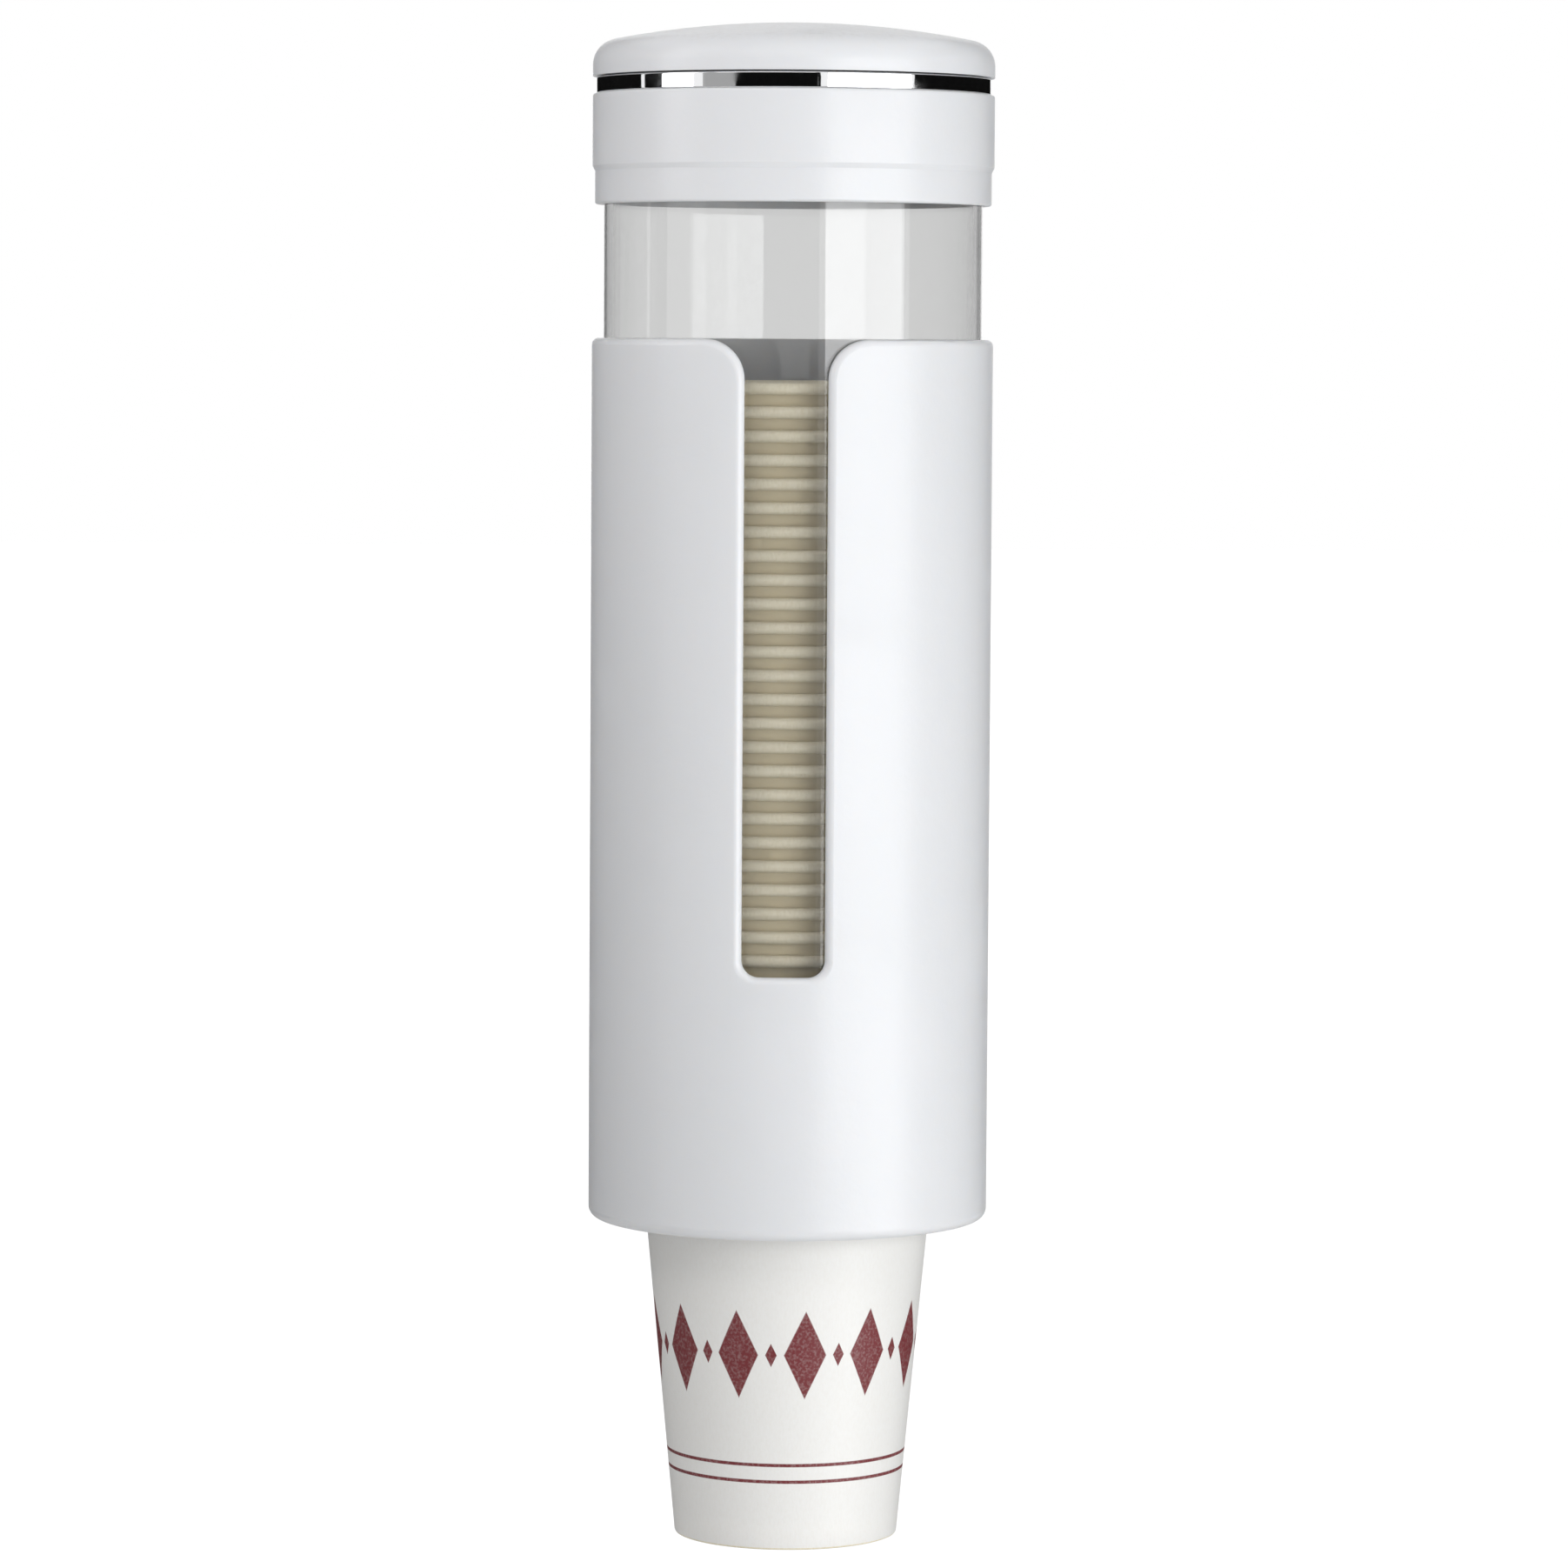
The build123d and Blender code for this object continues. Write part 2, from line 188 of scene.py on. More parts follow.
def ramp_node(tree, value, low=0.0, high=1.0, to_low=0.0, to_high=1.0, smooth=True):
    """Maps low..high to to_low..to_high, with soft ends where smooth."""
    node = tree.nodes.new("ShaderNodeMapRange")
    node.interpolation_type = "SMOOTHSTEP" if smooth else "LINEAR"
    feed(tree, node.inputs["Value"], value)
    feed(tree, node.inputs["From Min"], low)
    feed(tree, node.inputs["From Max"], high)
    feed(tree, node.inputs["To Min"], to_low)
    feed(tree, node.inputs["To Max"], to_high)
    return node.outputs["Result"]


print("node helpers:", *(helper.__name__ for helper in (feed, math_node, ramp_node)))

# %% [markdown]
# The page behind is white for everything that looks straight at it: the lens, a reflection or
# a ray through clear plastic. A white backdrop lit by lamps would do that too, but it would
# flood the plastic with light. Here Light Path tells the two apart, and the soft fill light on
# the object is weaker than the page, stronger from above, so the plastic keeps its greys.

# %% World
white = (1.0, 1.0, 1.0, 1.0)
page_white = 1.0
fill_strength = 0.41
fill_from_above = 0.18
world = bpy.data.worlds.new("studio")
world.use_nodes = True
bpy.context.scene.world = world
tree = world.node_tree
path = tree.nodes.new("ShaderNodeLightPath")
seen = math_node(tree, "MAXIMUM", path.outputs["Is Camera Ray"], path.outputs["Is Glossy Ray"])
seen = math_node(tree, "MAXIMUM", seen, path.outputs["Is Transmission Ray"])
direction = tree.nodes.new("ShaderNodeTexCoord")
upward = tree.nodes.new("ShaderNodeSeparateXYZ")
feed(tree, upward.inputs[0], direction.outputs["Generated"])
dimmest = fill_strength - fill_from_above
brightest = fill_strength + fill_from_above
fill = ramp_node(tree, upward.outputs["Z"], -1.0, 1.0, dimmest, brightest, smooth=False)
background = tree.nodes["Background"]
background.inputs["Color"].default_value = white
page_or_fill = ramp_node(tree, seen, to_low=fill, to_high=page_white, smooth=False)
feed(tree, background.inputs["Strength"], page_or_fill)
print("fill light from", round(dimmest, 2), "below to", round(brightest, 2), "above")

# %% [markdown]
# A material starts from the Principled shader. Numbers that are the same all over stay on its
# own sockets, where an exported model can find them, and only what varies over the surface is
# wired in. Where roughness is wired, the number on its socket is the usual one. One helper
# starts every material, from the cards in the studio to the cups.

# %% A helper for materials
def new_material(name, roughness, **constants):
    """A material with its tree and Principled shader, with constants set by socket name."""
    made = bpy.data.materials.new(name)
    made.use_nodes = True
    shader = made.node_tree.nodes["Principled BSDF"]
    shader.inputs["Roughness"].default_value = roughness
    for label, value in constants.items():
        shader.inputs[label.replace("_", " ")].default_value = value
    return made, made.node_tree, shader


print("material helper:", new_material.__name__)

# %% [markdown]
# Plating and clear plastic show what stands round them, so a studio hangs black cards beside
# the lens to put dark bars into them. Each card here is a curved sheet that only reflections
# see. One is grey, for the soft end of a bar, and one also shades the plastic from the fill.

# %% A helper for plain meshes and one for cards
card_radius = 3.2
card_foot, card_top = -1.25, 2.6
card_step = 6.0
fewest_steps = 2


def mesh_object(name, points, faces, material):
    """A new object from points and faces, linked to the scene."""
    data = bpy.data.meshes.new(name)
    data.from_pydata(points, [], faces)
    data.materials.append(material)
    made = bpy.data.objects.new(name, data)
    bpy.context.scene.collection.objects.link(made)
    return made


def dark_card(name, azimuth_from, azimuth_to, material, shades):
    """A curved upright card over a range of azimuths, seen by reflections. One that shades
    also takes its share out of the soft fill light."""
    steps = max(fewest_steps, round((azimuth_to - azimuth_from) / card_step))
    points, faces = [], []
    for i in range(steps + 1):
        azimuth = azimuth_from + (azimuth_to - azimuth_from) * i / steps
        points += [around(azimuth, card_radius, card_foot), around(azimuth, card_radius, card_top)]
    for i in range(steps):
        faces.append((2 * i, 2 * i + 2, 2 * i + 3, 2 * i + 1))
    card = mesh_object(name, points, faces, material)
    for rays in ("camera", "transmission", "shadow", "volume_scatter"):
        setattr(card, "visible_" + rays, False)
    card.visible_diffuse = shades
    return card


print("cards hang", card_radius, "m from the axis")

# %% [markdown]
# The bars in the plating and the clear tube say where the cards hang: a bar's place on the
# round surface gives the direction that it mirrors. Between two cards the white page shows
# through as a bright bar.

# %% Dark cards
card_paint = (0.01, 0.01, 0.01, 1.0)


def card_material(name, glow):
    """Matt black that glows by itself, so that its grey doesn't hang on the lamps."""
    parts = new_material(
        name, roughness=1.0, Base_Color=card_paint, Specular_IOR_Level=0.0,
        Emission_Color=white, Emission_Strength=glow,
    )
    return parts[0]


card_black = card_material("card_black", 0.0)
card_grey = card_material("card_grey", 0.4)
cards = (
    ("card_front", -32, 17, card_black, False),
    ("card_front_left", -52, -32, card_grey, False),
    ("card_left", -94.5, -80, card_black, False),
    ("card_far_left", -165, -97.5, card_black, False),
    ("card_right", 75, 90, card_black, False),
    ("card_back_right", 90, 150, card_black, True),
    ("card_far_right", 150, 165, card_black, False),
)
for name, azimuth_from, azimuth_to, material, shades in cards:
    dark_card(name, azimuth_from, azimuth_to, material, shades)
print("hung", len(cards), "cards")

# %% [markdown]
# A dispenser hangs well above any floor, so the floor is far below and very wide. It is pale,
# and glows a little for the lens and for rays through clear plastic, so that it runs into the
# white page without an edge and still takes a shadow.

# %% Floor
floor_z = -1.3
floor_half = 40.0
floor_lift = 0.6
floor_paint = (0.9, 0.9, 0.9, 1.0)
floor_pale, tree, shader = new_material(
    "floor_pale", roughness=0.9, Base_Color=floor_paint, Emission_Color=white
)
path = tree.nodes.new("ShaderNodeLightPath")
seen = math_node(tree, "MAXIMUM", path.outputs["Is Camera Ray"], path.outputs["Is Transmission Ray"])
feed(tree, shader.inputs["Emission Strength"], math_node(tree, "MULTIPLY", seen, floor_lift))
sides = ((-1, -1), (1, -1), (1, 1), (-1, 1))
floor_points = [(x * floor_half, y * floor_half, floor_z) for x, y in sides]
floor = mesh_object("floor", floor_points, [(0, 1, 2, 3)], floor_pale)
print("floor", floor_z, "m below the bracket's centre")

# %% [markdown]
# Some effects belong to more than one material: the faint skin of a moulding, the marks that
# hands leave, and dust on whatever faces up. They could be wired again in each material, but a
# node group with named inputs is built once and keeps them alike. Each hands masks and heights
# to the materials further down.

# %% Helpers for node groups
def new_group(name, inputs, outputs):
    """A shader node group with its sockets, and its input and output nodes."""
    group = bpy.data.node_groups.new(name, "ShaderNodeTree")
    for label, value in inputs:
        socket = group.interface.new_socket(name=label, in_out="INPUT", socket_type="NodeSocketFloat")
        socket.default_value = value
    for label in outputs:
        group.interface.new_socket(name=label, in_out="OUTPUT", socket_type="NodeSocketFloat")
    return group, group.nodes.new("NodeGroupInput"), group.nodes.new("NodeGroupOutput")


def use_group(tree, group, **values):
    """Places a group in a material with its own input values, and gives its outputs."""
    node = tree.nodes.new("ShaderNodeGroup")
    node.node_tree = group
    for label, value in values.items():
        node.inputs[label.replace("_", " ")].default_value = value
    return node.outputs


print("group helpers:", new_group.__name__, use_group.__name__)

# %% [markdown]
# Real surfaces are never even, and noise is the cheapest unevenness there is. A painted image
# would need unwrapping, while this noise fills the piece's own space, so it stays put when the
# piece moves. Squeezed more one way than another, its cells become threads.

# %% A helper for noise
def noise_node(tree, scale, detail=2.0, stretch=(1.0, 1.0, 1.0), roughness=0.5):
    """Noise over object space, with cells of about 1 / scale metres, squeezed by stretch."""
    place = tree.nodes.new("ShaderNodeTexCoord")
    mapping = tree.nodes.new("ShaderNodeMapping")
    noise = tree.nodes.new("ShaderNodeTexNoise")
    feed(tree, mapping.inputs["Vector"], place.outputs["Object"])
    feed(tree, mapping.inputs["Scale"], stretch)
    feed(tree, noise.inputs["Vector"], mapping.outputs["Vector"])
    feed(tree, noise.inputs["Scale"], scale)
    feed(tree, noise.inputs["Detail"], detail)
    feed(tree, noise.inputs["Roughness"], roughness)
    return noise.outputs["Fac"]


print("noise helper:", noise_node.__name__)

# %% [markdown]
# A mould is polished by hand, and what comes out of it keeps a faint ripple, with patches where
# the plastic cooled a little differently. Noise at two scales gives both: fine noise is a height
# for the bump, and broad noise is a mask for the colour.

# %% The skin of a moulding
moulded_skin, enter, leave = new_group(
    "moulded_skin", [("Grain per metre", 900.0), ("Patches per metre", 18.0)], ["Height", "Patches"]
)
grain = noise_node(moulded_skin, enter.outputs["Grain per metre"], detail=3.0)
patches = noise_node(moulded_skin, enter.outputs["Patches per metre"])
feed(moulded_skin, leave.inputs["Height"], grain)
feed(moulded_skin, leave.inputs["Patches"], ramp_node(moulded_skin, patches, low=0.3, high=0.7))
print(moulded_skin.name, "gives", len(leave.inputs) - 1, "outputs")

# %% [markdown]
# People handle a dispenser at every refill. Fingers leave dull clouds, and cloths and cups leave
# hairlines along the tube. Clouds are the high part of a soft noise. Hairlines are the high part
# of a noise that is squeezed sideways, so that its cells become upright threads.

# %% Marks left by hands
thread_stretch = (2600.0, 2600.0, 55.0)
handling_marks, enter, leave = new_group(
    "handling_marks", [("Smudges per metre", 35.0), ("Hairline amount", 0.5)], ["Smudges", "Hairlines"]
)
cloud = noise_node(handling_marks, enter.outputs["Smudges per metre"], detail=4.0, roughness=0.6)
smudges = ramp_node(handling_marks, cloud, low=0.52, high=0.68)
thread = noise_node(handling_marks, 1.0, detail=1.0, stretch=thread_stretch)
thin = ramp_node(handling_marks, thread, low=0.70, high=0.76)
hairlines = math_node(handling_marks, "MULTIPLY", thin, enter.outputs["Hairline amount"])
feed(handling_marks, leave.inputs["Smudges"], smudges)
feed(handling_marks, leave.inputs["Hairlines"], hairlines)
print(handling_marks.name, "gives", len(leave.inputs) - 1, "outputs")

# %% [markdown]
# Dust settles on the lid and on every ledge, and on nothing upright. The surface's own normal
# says how far it faces up, and fine noise breaks the layer into specks.

# %% Dust on what faces up
specks_per_metre = 700.0
settled_dust, enter, leave = new_group("settled_dust", [("Amount", 0.3)], ["Dust"])
geometry = settled_dust.nodes.new("ShaderNodeNewGeometry")
upward = settled_dust.nodes.new("ShaderNodeSeparateXYZ")
feed(settled_dust, upward.inputs[0], geometry.outputs["Normal"])
facing_up = ramp_node(settled_dust, upward.outputs["Z"], low=0.55, high=0.98)
fine = noise_node(settled_dust, specks_per_metre, detail=5.0, roughness=0.7)
specks = ramp_node(settled_dust, fine, low=0.45, high=0.75)
lying = math_node(settled_dust, "MULTIPLY", facing_up, specks)
feed(settled_dust, leave.inputs["Dust"], math_node(settled_dust, "MULTIPLY", lying, enter.outputs["Amount"]))
print(settled_dust.name, "gives", len(leave.inputs) - 1, "output")

# %% [markdown]
# The masks and heights then act on a finish in three ways: they mix two colours, they dull or
# polish, and they dent. Each way gets a helper, so that a material below reads as a list of what
# has happened to its surface. Dents this fine could be modelled, but they only turn the light a
# little, which is what a bump does.

# %% Helpers for finishes
def mix_colours(tree, share, first, second):
    """Colour first where share is 0, second where it is 1. Each is a socket or a colour."""
    node = tree.nodes.new("ShaderNodeMix")
    node.data_type = "RGBA"
    feed(tree, node.inputs["Factor"], share)
    for label, value in (("A", first), ("B", second)):
        socket = next(s for s in node.inputs if s.name == label and s.type == "RGBA")
        feed(tree, socket, (*value, 1.0) if isinstance(value, tuple) else value)
    return next(s for s in node.outputs if s.type == "RGBA")


def worn_roughness(tree, shader, polish, *wear):
    """Roughness of an untouched surface, plus what each mask of wear adds where it is 1."""
    rough = polish
    for mask, dulls in wear:
        rough = math_node(tree, "MULTIPLY_ADD", mask, dulls, rough)
    feed(tree, shader.inputs["Roughness"], rough)


def bump(tree, shader, height, depth):
    """Feeds a height into the shader's normal. depth is the height of 1 in metres."""
    node = tree.nodes.new("ShaderNodeBump")
    node.inputs["Strength"].default_value = 1.0
    node.inputs["Distance"].default_value = depth
    feed(tree, node.inputs["Height"], height)
    feed(tree, shader.inputs["Normal"], node.outputs["Normal"])


print("finish helpers:", *(helper.__name__ for helper in (mix_colours, worn_roughness, bump)))

# %% [markdown]
# Shell, collar and lid are one white plastic, moulded glossy and slightly cool. A plain diffuse
# white looks like paint, so half of the light goes in: walls of two or three millimetres then
# pass a little of it, which softens their edges and lifts the dark inside the shell. Up close
# there is the ripple of the mould, patches that the hand has dulled, and dust on the lid. Polish
# is the roughness where nothing has touched it, and each kind of wear adds its own to that.

# %% White plastic
plastic_white, plastic_patch = (0.86, 0.868, 0.885), (0.845, 0.855, 0.872)
lid_dust = (0.62, 0.6, 0.57)
wall_glow = 0.5
light_depth = (0.0024, 0.0022, 0.002)
usual_roughness, polish = 0.32, 0.30
smudge_dulls, hairline_dulls, dust_dulls = 0.10, 0.25, 0.8
ripple_depth = 0.00006
white_plastic, tree, shader = new_material(
    "white_plastic", usual_roughness, IOR=1.5, Subsurface_Weight=wall_glow,
    Subsurface_Radius=light_depth, Subsurface_Scale=1.0,
)
skin = use_group(tree, moulded_skin, Grain_per_metre=420.0, Patches_per_metre=22.0)
marks = use_group(tree, handling_marks, Smudges_per_metre=40.0, Hairline_amount=0.35)
dusty = use_group(tree, settled_dust, Amount=0.22)
tone = mix_colours(tree, skin["Patches"], plastic_white, plastic_patch)
feed(tree, shader.inputs["Base Color"], mix_colours(tree, dusty["Dust"], tone, lid_dust))
handled = (marks["Smudges"], smudge_dulls), (marks["Hairlines"], hairline_dulls)
worn_roughness(tree, shader, polish, *handled, (dusty["Dust"], dust_dulls))
bump(tree, shader, skin["Height"], ripple_depth)
print(white_plastic.name, "has", len(tree.nodes), "nodes")

# %% [markdown]
# The inner tube is extruded clear plastic: slightly smoky, with faint lines drawn along it by
# the die and hairline scratches from cups and cloths. A thin see-through sheet would be cheaper,
# but this tube has real walls, so glass shading lets its two surfaces bend and reflect the light
# as the real ones do. Lamps shine through it for shadow rays, which glass would otherwise stop,
# and the wall itself absorbs a little, which makes its edges darker.

# %% Clear plastic
smoky_clear = (0.9, 0.902, 0.9, 1.0)
lamp_light_passed = 0.96
absorbed_per_metre = 52.0
usual_roughness, polish = 0.03, 0.02
smudge_dulls, hairline_dulls = 0.04, 0.15
die_stretch = (420.0, 420.0, 2.0)
die_depth = 0.00002
clear_plastic, tree, shader = new_material(
    "clear_plastic", usual_roughness, IOR=1.54, Transmission_Weight=1.0, Base_Color=smoky_clear
)
path = tree.nodes.new("ShaderNodeLightPath")
passing = math_node(tree, "MULTIPLY_ADD", path.outputs["Is Shadow Ray"], -lamp_light_passed, 1.0)
feed(tree, shader.inputs["Alpha"], passing)
depth_tint = tree.nodes.new("ShaderNodeVolumeAbsorption")
depth_tint.inputs["Color"].default_value = (0.0, 0.0, 0.0, 1.0)
depth_tint.inputs["Density"].default_value = absorbed_per_metre
feed(tree, tree.nodes["Material Output"].inputs["Volume"], depth_tint.outputs["Volume"])
marks = use_group(tree, handling_marks, Smudges_per_metre=30.0, Hairline_amount=0.5)
worn_roughness(tree, shader, polish, (marks["Smudges"], smudge_dulls), (marks["Hairlines"], hairline_dulls))
bump(tree, shader, noise_node(tree, 1.0, stretch=die_stretch), die_depth)
print(clear_plastic.name, "has", len(tree.nodes), "nodes")

# %% [markdown]
# The ring under the lid is plated plastic. Its bars could be painted on, but a true mirror
# takes them from the cards and boxes, and they stay right from every side. Plating is a mirror
# with a slight grey, and what makes it real is finger haze and the softness of the plastic
# beneath it, so its bump is a broad faint ripple instead of grain.

# %% Chrome plate
plating = (0.86, 0.865, 0.875, 1.0)
usual_roughness, polish = 0.05, 0.035
smudge_dulls, hairline_dulls = 0.08, 0.12
plating_ripple = 0.00002
chrome_plate, tree, shader = new_material(
    "chrome_plate", usual_roughness, Metallic=1.0, Base_Color=plating
)
marks = use_group(tree, handling_marks, Smudges_per_metre=90.0, Hairline_amount=0.6)
skin = use_group(tree, moulded_skin, Grain_per_metre=160.0, Patches_per_metre=40.0)
worn_roughness(tree, shader, polish, (marks["Smudges"], smudge_dulls), (marks["Hairlines"], hairline_dulls))
bump(tree, shader, skin["Height"], plating_ripple)
print(chrome_plate.name, "has", len(tree.nodes), "nodes")

# %% [markdown]
# Pieces that stay inside or behind are moulded in the same white without the polish. The
# wall bracket and its hanger have the fine spark texture that hides wear. One function makes
# both, because they differ only in shade, gloss and grain, and hairlines polish a matt surface
# instead of dulling it.

# %% Plain mouldings
ledge_dust = (0.55, 0.53, 0.5)
hairline_polishes = -0.15


def plain_moulding(name, colour, darker, roughness, grain, depth):
    """A matt moulded plastic with a texture of about 1 / grain metres."""
    made, tree, shader = new_material(name, roughness, IOR=1.5)
    skin = use_group(tree, moulded_skin, Grain_per_metre=grain, Patches_per_metre=30.0)
    marks = use_group(tree, handling_marks, Smudges_per_metre=50.0, Hairline_amount=0.6)
    dusty = use_group(tree, settled_dust, Amount=0.35)
    tone = mix_colours(tree, skin["Patches"], colour, darker)
    feed(tree, shader.inputs["Base Color"], mix_colours(tree, dusty["Dust"], tone, ledge_dust))
    worn_roughness(tree, shader, roughness, (marks["Hairlines"], hairline_polishes))
    bump(tree, shader, skin["Height"], depth)
    return made


inner_plastic = plain_moulding(
    "inner_plastic", (0.8, 0.81, 0.82), (0.76, 0.77, 0.79), roughness=0.45, grain=700.0, depth=0.00005
)
bracket_plastic = plain_moulding(
    "bracket_plastic", (0.74, 0.75, 0.76), (0.7, 0.71, 0.72), roughness=0.55, grain=2200.0, depth=0.00008
)
print(inner_plastic.name, bracket_plastic.name)

# %% [markdown]
# The fingers and the lid's seal are soft silicone: milky, slightly see-through at the edges,
# with a satin skin. Clear silicone could be made as cloudy glass, which renders slowly. A
# little subsurface light is enough to tell it from hard plastic.

# %% Silicone
silicone_depth = (0.004, 0.0035, 0.003)
silicone_skin = 0.00003
patch_darkens = 0.93


def silicone(name, colour, softness):
    """Milky silicone. softness is how much light goes in under the surface."""
    made, tree, shader = new_material(
        name, roughness=0.5, IOR=1.41, Subsurface_Weight=softness,
        Subsurface_Radius=silicone_depth, Subsurface_Scale=1.0,
    )
    skin = use_group(tree, moulded_skin, Grain_per_metre=1500.0, Patches_per_metre=60.0)
    darker = tuple(patch_darkens * part for part in colour)
    feed(tree, shader.inputs["Base Color"], mix_colours(tree, skin["Patches"], colour, darker))
    patchy = ramp_node(tree, skin["Patches"], to_low=0.42, to_high=0.58)
    feed(tree, shader.inputs["Roughness"], patchy)
    bump(tree, shader, skin["Height"], silicone_skin)
    return made


flexible_fingers = silicone("flexible_fingers", (0.7, 0.72, 0.74), softness=0.35)
soft_seal = silicone("soft_seal", (0.55, 0.56, 0.57), softness=0.2)
print(flexible_fingers.name, soft_seal.name)

# %% [markdown]
# Screws are bright zinc over steel, with the fine roughness of the plating bath and patches
# that the driver has rubbed dull. Marks from turning the head could be cut as rings, but they
# would be lost at this size, so fine noise is the whole finish.

# %% Screws
zinc = (0.62, 0.62, 0.63, 1.0)
usual_roughness, polish = 0.3, 0.25
smudge_dulls = 0.2
zinc_grains_per_metre = 5200.0
zinc_depth = 0.00003
screw_steel, tree, shader = new_material(
    "screw_steel", usual_roughness, Metallic=1.0, Base_Color=zinc
)
marks = use_group(tree, handling_marks, Smudges_per_metre=400.0, Hairline_amount=0.8)
worn_roughness(tree, shader, polish, (marks["Smudges"], smudge_dulls))
bump(tree, shader, noise_node(tree, zinc_grains_per_metre, detail=3.0), zinc_depth)
print(screw_steel.name, "has", len(tree.nodes), "nodes")

# %% [markdown]
# The foam pad is closed-cell foam: dark, dull and full of small round cells. Modelled cells
# would be thousands of dents, so a Voronoi pattern stands for them: the distance from the
# middle of a cell is its height and its dullness, and its colour is painted darker towards the
# middle as painted shade at the bottom of each dent.

# %% Foam
cells_per_metre = 2400.0
cell_hollow_shade, cell_light = (0.09, 0.092, 0.095), (0.17, 0.172, 0.178)
cell_depth = 0.0002
foam_tape, tree, shader = new_material("foam_tape", roughness=0.9)
place = tree.nodes.new("ShaderNodeTexCoord")
cells = tree.nodes.new("ShaderNodeTexVoronoi")
cells.inputs["Scale"].default_value = cells_per_metre
feed(tree, cells.inputs["Vector"], place.outputs["Object"])
out_of_cell = cells.outputs["Distance"]
# The middle of each cell is painted darker: painted shade in the dent.
tone = mix_colours(tree, ramp_node(tree, out_of_cell, high=0.7), cell_hollow_shade, cell_light)
feed(tree, shader.inputs["Base Color"], tone)
feed(tree, shader.inputs["Roughness"], ramp_node(tree, out_of_cell, to_low=0.8, to_high=0.98))
bump(tree, shader, out_of_cell, cell_depth)
print(foam_tape.name, "has", len(tree.nodes), "nodes")

# %% [markdown]
# A cup is thin board with a waxy coat. Its surface shows faint fibres that run up the cup more
# than round it, so their noise is squeezed sideways, and a trace of light goes into the board.
# The coated outside is a warm white, and the inside and the rim are yellower. Both start from
# one function, because they are one sheet.

# %% Cup paper
cup_white, cup_shade = (0.965, 0.955, 0.925), (0.94, 0.925, 0.89)
board_white, board_shade = (0.92, 0.85, 0.67), (0.85, 0.775, 0.58)
board_glow = 0.06
board_light_depth = (0.0015, 0.0012, 0.001)
fibre_stretch = (1800.0, 1800.0, 700.0)
fibre_depth = 0.00004


def paper_base(name, colour, darker):
    """Coated board, and the socket of its colour before any print."""
    made, tree, shader = new_material(
        name, roughness=0.42, IOR=1.48, Subsurface_Weight=board_glow,
        Subsurface_Radius=board_light_depth, Subsurface_Scale=1.0,
    )
    fibres = noise_node(tree, 1.0, detail=4.0, stretch=fibre_stretch, roughness=0.65)
    tone = mix_colours(tree, ramp_node(tree, fibres, low=0.35, high=0.7), colour, darker)
    waxy = ramp_node(tree, fibres, low=0.3, high=0.7, to_low=0.36, to_high=0.5)
    feed(tree, shader.inputs["Roughness"], waxy)
    bump(tree, shader, fibres, fibre_depth)
    return made, tree, shader, tone


cup_paper, tree, shader, tone = paper_base("cup_paper", board_white, board_shade)
feed(tree, shader.inputs["Base Color"], tone)
print(cup_paper.name, "has", len(tree.nodes), "nodes")

# %% [markdown]
# The outside of the wall carries a plain harlequin row in maroon: upright lozenges with small
# ones between, over two fine lines. An image would need unwrapping, so the print is drawn by
# arithmetic instead: the angle round the cup and the height up it are enough for a lozenge,
# which is where two distances add up to less than one.

# %% The size of the print
ink = (0.2, 0.03, 0.035)
lozenges_round = 12
row_height = 0.047
lozenge_half_height = 0.0105
lozenge_half_share = 0.31
small_half_height = 0.0028
small_half_share = 0.085
line_heights = (0.0165, 0.0205)
line_half_width = 0.0004
edge_softness = 0.03
line_softness = 0.2


def lozenge_mask(tree, across, up, half_share, half_height):
    """1 inside a lozenge. across is 0 on its middle and 0.5 at the next one's."""
    width_share = math_node(tree, "MULTIPLY", across, 1 / half_share)
    height_share = math_node(tree, "MULTIPLY", math_node(tree, "ABSOLUTE", up), 1 / half_height)
    out_of_middle = math_node(tree, "ADD", width_share, height_share)
    return ramp_node(tree, out_of_middle, 1 - edge_softness, 1 + edge_softness, to_low=1.0, to_high=0.0)


print(lozenges_round, "lozenges of", 2 * lozenge_half_height, "m stand in a row")

# %% [markdown]
# The turn round the cup is cut into as many equal parts as there are lozenges. PINGPONG folds
# each part onto itself, so one lozenge drawn is all of them drawn, and the small ones sit at the
# other end of the fold. The masks are joined with MAXIMUM, because prints that overlap don't
# add up.

# %% Where the ink lies
cup_print, tree, shader, tone = paper_base("cup_print", cup_white, cup_shade)
place = tree.nodes.new("ShaderNodeTexCoord")
axes = tree.nodes.new("ShaderNodeSeparateXYZ")
feed(tree, axes.inputs[0], place.outputs["Object"])
height_up = axes.outputs["Z"]
turn = math_node(tree, "ARCTAN2", axes.outputs["Y"], axes.outputs["X"])
along = math_node(tree, "MULTIPLY", turn, lozenges_round / (2 * math.pi))
across = math_node(tree, "PINGPONG", along, 0.5)
from_middle = math_node(tree, "SUBTRACT", 0.5, across)
up = math_node(tree, "SUBTRACT", height_up, row_height)
inked = lozenge_mask(tree, across, up, lozenge_half_share, lozenge_half_height)
small = lozenge_mask(tree, from_middle, up, small_half_share, small_half_height)
inked = math_node(tree, "MAXIMUM", inked, small)
line_core, line_edge = (1 - line_softness) * line_half_width, (1 + line_softness) * line_half_width
for height in line_heights:
    away = math_node(tree, "ABSOLUTE", math_node(tree, "SUBTRACT", height_up, height))
    line = ramp_node(tree, away, line_core, line_edge, to_low=1.0, to_high=0.0)
    inked = math_node(tree, "MAXIMUM", inked, line)
print("the print is a row of lozenges over", len(line_heights), "lines")
